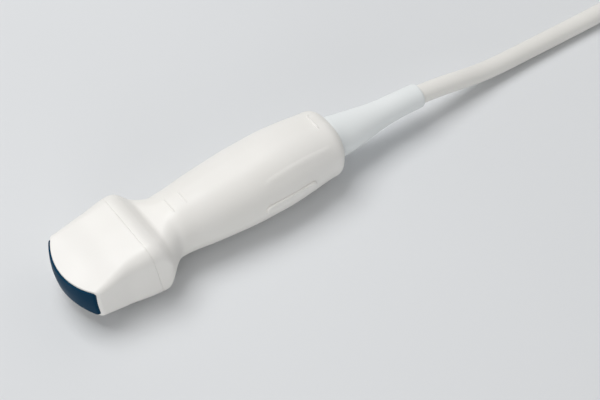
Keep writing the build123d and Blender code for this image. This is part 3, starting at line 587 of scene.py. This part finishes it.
def make_bar():
    """Orientation bar on the side, standing proud of it at each point's own place."""
    along, z, proud = long_round(BAR_STRAIGHT, BAR_HALF, BAR_EDGE, BAR_PROUD)
    station = BAR_MIDDLE + along
    grid = points(station, -(side_reach(station, z) + proud), z)
    build("orientation_bar", [grid], "probe", housing)


RIB_POINTS, RIB_ROOT, RIB_FADE = 11, 0.05, 0.12  # across a rib, its foot's depth, share that fades


def make_rib(name, station, y, half, proud):
    """Raised line on the handle's broad side along a path: across it a squared cosine, which also
    fades out at both ends, over a flat underside sunk into the surface."""
    ahead = np.stack([np.gradient(station), np.gradient(y)], -1)
    ahead /= np.linalg.norm(ahead, axis=1)[:, None]
    across = np.concatenate([np.linspace(-1, 1, RIB_POINTS), [1.0, -1.0]]) * half
    top = np.concatenate([np.cos(np.linspace(-pi / 2, pi / 2, RIB_POINTS)) ** 2, [0, 0]])
    sunk = np.concatenate([np.full(RIB_POINTS, RIB_ROOT), [SUNK, SUNK]])
    way = np.linspace(0, 1, len(station))
    fade = soft(ease(np.minimum(way, 1 - way), 0, RIB_FADE))
    place = station[:, None] - ahead[:, 1:] * across
    side = y[:, None] + ahead[:, :1] * across
    z = top_height(place, side) + proud * fade[:, None] * top - sunk
    build(name, [points(place, side, z)], "probe", housing)


# Raised lines: half width and height over the surface
FINE_LINE, HOOK, CREASE = (0.4, 0.26), (0.65, 0.6), (1.7, 0.34)


def make_marks():
    """The two fine lines across the neck, the hooked line across the rear top, which bends to the
    rear on one side with the square of the distance, and the soft crease along the upper edge of
    the side."""
    way = np.linspace(1, 0, 40)
    make_rib("neck_line_front", np.full(40, 49.2), -4.6 + 8.2 * way, *FINE_LINE)
    make_rib("neck_line_rear", np.full(40, 55.1), -4.2 + 7.4 * way, *FINE_LINE)
    across = -3.6 + 10.0 * way
    make_rib("hook_line", 117.2 + 1.5 * ease(across, 3.0, 6.4) ** 2, across, *HOOK)
    along = np.linspace(0, 1, 60)
    make_rib("rear_crease", 119.0 - 35.0 * along, -11.3 - 1.3 * along, *CREASE)


make_nose()
make_lens()
make_grip()
make_relief()
make_bar()
make_marks()


# Cord

OUT, IN, PITCH = 33.1, 25.0, 8.2  # radii of the hank's two columns of turns, and their pitch
NEAR, FAR = 258.0, 317.0  # x of the centres of the hank's ends
CORNERS = 8  # of the polygon of each half turn
EXIT_X, STRAIGHT = 85.75, 10.0  # x of the relief's end in the solids, and the straight run from it
STEP_OUT = 189.0  # x where the cord starts to swing out beside the hank
# The cord's points between the strain relief and the floor
LEAD = ((112.3, 0.0, 7.75), (126.0, 0.2, 5.5), (147.0, 0.5, 4.5), (172.0, 0.2, 4.0))
PLUG_X, PLUG_TURN = 300.5, radians(25)  # the plug's own frame: place and turn about the upright
LOOP_X, LOOP_RADIUS = 265.4, 27.0  # last loop, from the hank up to the plug
COLUMN = 24.5  # y of the inner column in the solids
PLUG_Y = COLUMN - LOOP_RADIUS - (LOOP_RADIUS + sin(PLUG_TURN) * (LOOP_X - PLUG_X)) / cos(PLUG_TURN)
PLUG_SIDE, PLUG_TOP, LEVER_X = 23.0, 11.0, 27.0  # plug's half width, half height and lever's place
PLUG_Z = 3 * PITCH + 0.1 + PLUG_TOP


def bend(centre, radius, first, last, corners):
    """Corners of the polygon round an arc, from one angle to another in degrees."""
    step = (last - first) / corners
    reach = radius / cos(radians(step / 2))
    angles = np.radians(first + (np.arange(corners) + 0.5) * step)
    return np.stack([centre[0] + reach * np.cos(angles), centre[1] + reach * np.sin(angles)], -1)


def plug_at(x, y=0.0, z=0.0):
    """A point of the plug's own frame in the part's frame, in millimetres: turned, then moved."""
    c, s = cos(PLUG_TURN), sin(PLUG_TURN)
    return (PLUG_X + x * c - y * s, PLUG_Y + x * s + y * c, PLUG_Z + z)


def hank_turns():
    """Six turns, two columns in three layers. A turn is the far end's half circle and then the near
    end's; the near end carries the cord to the next column or layer."""
    low, mid, high = CABLE + PITCH * np.arange(3)
    # Radius and height before and after each near end, and the shares of it in which they change
    plan = [
        (OUT, IN, low, low, 0.0, 1.0),
        (IN, IN, low, mid, 0.0, 0.6),
        (IN, OUT, mid, mid, 0.0, 0.4),
        (OUT, OUT, mid, high, 0.0, 0.45),
        (OUT, IN, high, high, 0.0, 0.4),
    ]
    route = []
    for radius, then, z, rise, first, last in plan:
        route += [(x, y, z) for x, y in bend((FAR, 0), radius, -90, 90, CORNERS)]
        share = (np.arange(CORNERS) + 0.5) / CORNERS
        moved = radius + (then - radius) * ease(share, first, last)
        angles = np.radians(90 + 180 * share)
        reach = moved / cos(pi / CORNERS / 2)
        heights = z + (rise - z) * ease(share, first, last)
        route += list(zip(NEAR + reach * np.cos(angles), reach * np.sin(angles), heights))
    return route + [(x, y, high) for x, y in bend((FAR, 0), IN, -90, 90, CORNERS)]


def cord_route():
    """The cord's points from the strain relief, beside the hank, round it and up to the plug."""
    slope = 4 * RELIEF_DROOP / (RELIEF_END_STATION - REAR)
    steep = sqrt(1 + slope**2)
    first = (EXIT_X, 0.0, AXIS - RELIEF_DROOP)
    straight = (EXIT_X + STRAIGHT / steep, 0.0, first[2] - STRAIGHT * slope / steep)
    route = [first, straight, *LEAD]
    run = NEAR - STEP_OUT
    radius = (run**2 + OUT**2) / (4 * OUT)
    angle = degrees(np.arcsin(run / 2 / radius))
    step_out = list(bend((STEP_OUT, -radius), radius, 90, 90 - angle, 3))
    step_out += list(bend((NEAR, radius - OUT), radius, 270 - angle, 270, 3))
    route += [(x, y, CABLE) for x, y in step_out]
    route += hank_turns()
    low, end = CABLE + 2 * PITCH, plug_at(-18.0)
    centre = (LOOP_X, COLUMN - LOOP_RADIUS)
    loop = bend(centre, LOOP_RADIUS, 90, 270 + degrees(PLUG_TURN), CORNERS)
    rise = ease((np.arange(CORNERS) + 0.5) / CORNERS, 0.08, 0.95)
    route += [(x, y, low + (end[2] - low) * share) for (x, y), share in zip(loop, rise)]
    return np.array(route + [end]) * MM


def make_cord():
    """One round NURBS curve with the route's points as its control points."""
    curve = bpy.data.curves.new("cord", "CURVE")
    curve.dimensions = "3D"
    curve.bevel_depth, curve.bevel_resolution, curve.resolution_u = CABLE * MM, 7, 8
    curve.use_fill_caps = True
    route = cord_route()
    spline = curve.splines.new("NURBS")
    spline.points.add(len(route) - 1)
    spline.points.foreach_set("co", np.column_stack([route, np.ones(len(route))]).ravel())
    spline.order_u = 3
    spline.use_endpoint_u = True
    piece = bpy.data.objects.new("cord", curve)
    bpy.context.scene.collection.objects.link(piece)
    curve.materials.append(jacket)
    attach(piece, "probe")
    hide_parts("cable_free", "cable_hank", "cable_lead")
    return piece


DOT_AHEAD, DOT_ASIDE = 19.5, 19.0  # of the dots from the lever's axis


def make_plug_grips():
    """Five upright half-round ribs on each side of the plug to hold it by, and three dots on its
    top, in front of the lever and beside it, where its ends point as it turns."""
    grids = []
    for side in (-1, 1):
        for x in np.linspace(19.0, 39.0, 5):
            along, across, proud = long_round(5.0, 0.9, 0.6, 0.6)
            place = plug_at(x + side * across, side * (PLUG_SIDE + proud), along)
            grids.append(np.stack(np.broadcast_arrays(*place), -1) * MM)
    for x, y in ((LEVER_X - DOT_AHEAD, 0.0), (LEVER_X, DOT_ASIDE), (LEVER_X, -DOT_ASIDE)):
        along, across, proud = long_round(0.01, 0.9, 0.5, 0.5)
        place = plug_at(x + along, y + across, PLUG_TOP + proud)
        grids.append(np.stack(np.broadcast_arrays(*place), -1) * MM)
    return build("plug_grips", grids, "probe", plug_plastic)


TIE_X, TIE_Y, TIE_WIDTH = (NEAR + FAR) / 2, 28.6, 12.0  # middle of a strap's loop, and its width
TIE_THICK, TIE_ROUND, TIE_GAP = 0.8, 0.35, 0.06  # thickness, edge radius, gap under the free end
TIE_HALF, TIE_LOW, TIE_HIGH, TIE_CORNER = 8.6, 0.46, 25.1, 4.5  # its loop's outline
TIE_LAP = 22  # columns of the outline that the free end laps over the first layer


def make_ties():
    """A woven strap round each long side of the hank: its flat section is carried round a rounded
    rectangle and on over its own beginning on the top, lifted there by its own thickness."""
    count = len(PLACE)
    order = (np.arange(count + TIE_LAP) + ARC + FLAT // 2 - TIE_LAP // 2) % count
    place, turn = PLACE[order], TURN[order]
    over = soft(ease(np.arange(len(order)), count - 14, count - 2)) * (TIE_THICK + TIE_GAP)
    middle = (TIE_LOW + TIE_HIGH) / 2
    y = place[:, 0] * (TIE_HALF - TIE_CORNER) + turn[:, 0] * (TIE_CORNER + over)
    z = place[:, 1] * (TIE_HIGH - middle - TIE_CORNER) + turn[:, 1] * (TIE_CORNER + over) + middle
    across = PLACE[::2, 0] * (TIE_WIDTH / 2 - TIE_ROUND) + TURN[::2, 0] * TIE_ROUND
    thick = PLACE[::2, 1] * (TIE_THICK / 2 - TIE_ROUND) + TURN[::2, 1] * TIE_ROUND
    grids = []
    for side in (-1, 1):
        w = TIE_Y * side + side * (y[:, None] + turn[:, :1] * thick)
        h = z[:, None] + turn[:, 1:] * thick
        x = np.broadcast_to(TIE_X + across, w.shape)
        grid = np.stack([x, w, h], -1) * MM
        grids.append(grid[::-1] if side > 0 else grid)
    piece = build("strap_ties", grids, "probe", strap, sharp=50)
    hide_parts("hank_ties")
    return piece


ties, grips = make_ties(), make_plug_grips()
cord = make_cord()


# Floor, light and camera


ROOM_COLOUR = "#DCDEE0"  # what is seen past the table
TABLE_EDGE, FADE_FROM, FADE_TO = 4.0, 0.4, 1.2  # metres from the middle
MOTTLE = 220.0  # size of the table's faint patches in mm


def looked_at(tree):
    """1 for rays of the camera and for those that glossy or clear pieces send on, 0 for the
    light."""
    ray = add(tree, "ShaderNodeLightPath")
    mirrored = add(tree, "ShaderNodeMath", {
        0: ray.outputs["Is Camera Ray"], 1: ray.outputs["Is Glossy Ray"]}, operation="ADD")
    return add(tree, "ShaderNodeMath", {
        0: mirrored.outputs[0], 1: ray.outputs["Is Transmission Ray"]},
        operation="ADD", use_clamp=True).outputs[0]


def make_floor():
    """Wide pale table top: a faint mottle over centimetres, a matt surface. Far from the object it
    fades into the room's pale grey."""
    material, tree, surface, place = start("painted_table_pale_grey")
    cloud = add(tree, "ShaderNodeTexNoise", {
        "Vector": place, "Scale": per_mm(MOTTLE), "Detail": 1.0})
    share = add(tree, "ShaderNodeMapRange", {
        "Value": cloud.outputs["Fac"], "From Min": 0.35, "From Max": 0.65})
    colour = add(tree, "ShaderNodeMix", {
        "Factor": share.outputs[0], "A": linear("#DDDFE1"), "B": linear("#E0E2E4")},
        data_type="RGBA")
    tree.links.new(colour.outputs["Result"], surface.inputs["Base Color"])
    surface.inputs["Roughness"].default_value = 0.75
    away = add(tree, "ShaderNodeVectorMath", {0: place}, operation="LENGTH")
    far = add(tree, "ShaderNodeMapRange", {
        "Value": away.outputs["Value"], "From Min": FADE_FROM, "From Max": FADE_TO},
        interpolation_type="SMOOTHSTEP")
    seen = add(tree, "ShaderNodeMath", {
        0: far.outputs[0], 1: looked_at(tree)}, operation="MULTIPLY")
    haze = add(tree, "ShaderNodeEmission", {"Color": linear(ROOM_COLOUR)})
    both = add(tree, "ShaderNodeMixShader", {
        0: seen.outputs[0], 1: surface.outputs[0], 2: haze.outputs[0]})
    tree.links.new(both.outputs[0], tree.nodes["Material Output"].inputs["Surface"])
    mesh = bpy.data.meshes.new("floor")
    corners = np.array([(-1, -1, 0), (1, -1, 0), (1, 1, 0), (-1, 1, 0)]) * TABLE_EDGE
    mesh.from_pydata(corners.tolist(), [], [(0, 1, 2, 3)])
    mesh.materials.append(material)
    floor = bpy.data.objects.new("floor", mesh)
    bpy.context.scene.collection.objects.link(floor)


def make_lamp(name, place, aim, size, power):
    """Square white soft box at a place, facing a point."""
    light = bpy.data.lights.new(name, "AREA")
    light.shape, light.size, light.energy = "SQUARE", size, power
    lamp = bpy.data.objects.new(name, light)
    lamp.location = place
    lamp.rotation_euler = (Vector(aim) - Vector(place)).to_track_quat("-Z", "Y").to_euler()
    bpy.context.scene.collection.objects.link(lamp)


def make_world(strength):
    """Even white light of that strength; what is looked at there is the room's pale grey."""
    world = bpy.data.worlds.new("room")
    world.use_nodes = True
    tree = world.node_tree
    tree.nodes.clear()
    light = add(tree, "ShaderNodeBackground", {"Color": linear("#FFFFFF"), "Strength": strength})
    room = add(tree, "ShaderNodeBackground", {"Color": linear(ROOM_COLOUR)})
    both = add(tree, "ShaderNodeMixShader", {
        0: looked_at(tree), 1: light.outputs[0], 2: room.outputs[0]})
    add(tree, "ShaderNodeOutputWorld", {"Surface": both.outputs[0]})
    bpy.context.scene.world = world


FOCAL, AWAY = 108.0, 0.72  # the camera's focal length in mm, and how far it stands off
AHEAD, AIM = Vector((0.3776, 0.5282, -0.7605)), Vector((0.01879, -0.0084, 0.0))  # where it looks


def make_camera():
    """Camera that sees the object as the photograph does."""
    camera = bpy.data.cameras.new("camera")
    camera.lens, camera.sensor_width, camera.sensor_fit = FOCAL, 36.0, "HORIZONTAL"
    camera.clip_start, camera.clip_end = 0.01, 20.0
    holder = bpy.data.objects.new("camera", camera)
    holder.location = AIM - AHEAD.normalized() * AWAY
    holder.rotation_euler = AHEAD.to_track_quat("-Z", "Y").to_euler()
    bpy.context.scene.collection.objects.link(holder)
    bpy.context.scene.camera = holder


make_floor()
make_lamp("key", (-0.2, 0.42, 1.2), (0.0, 0.0, 0.0), 0.8, 10.6)
make_lamp("fill", (-0.95, -0.9, 0.28), (0.0, 0.0, 0.02), 0.6, 3.0)
make_world(0.36)
make_camera()
bpy.context.scene.view_settings.view_transform = "Standard"
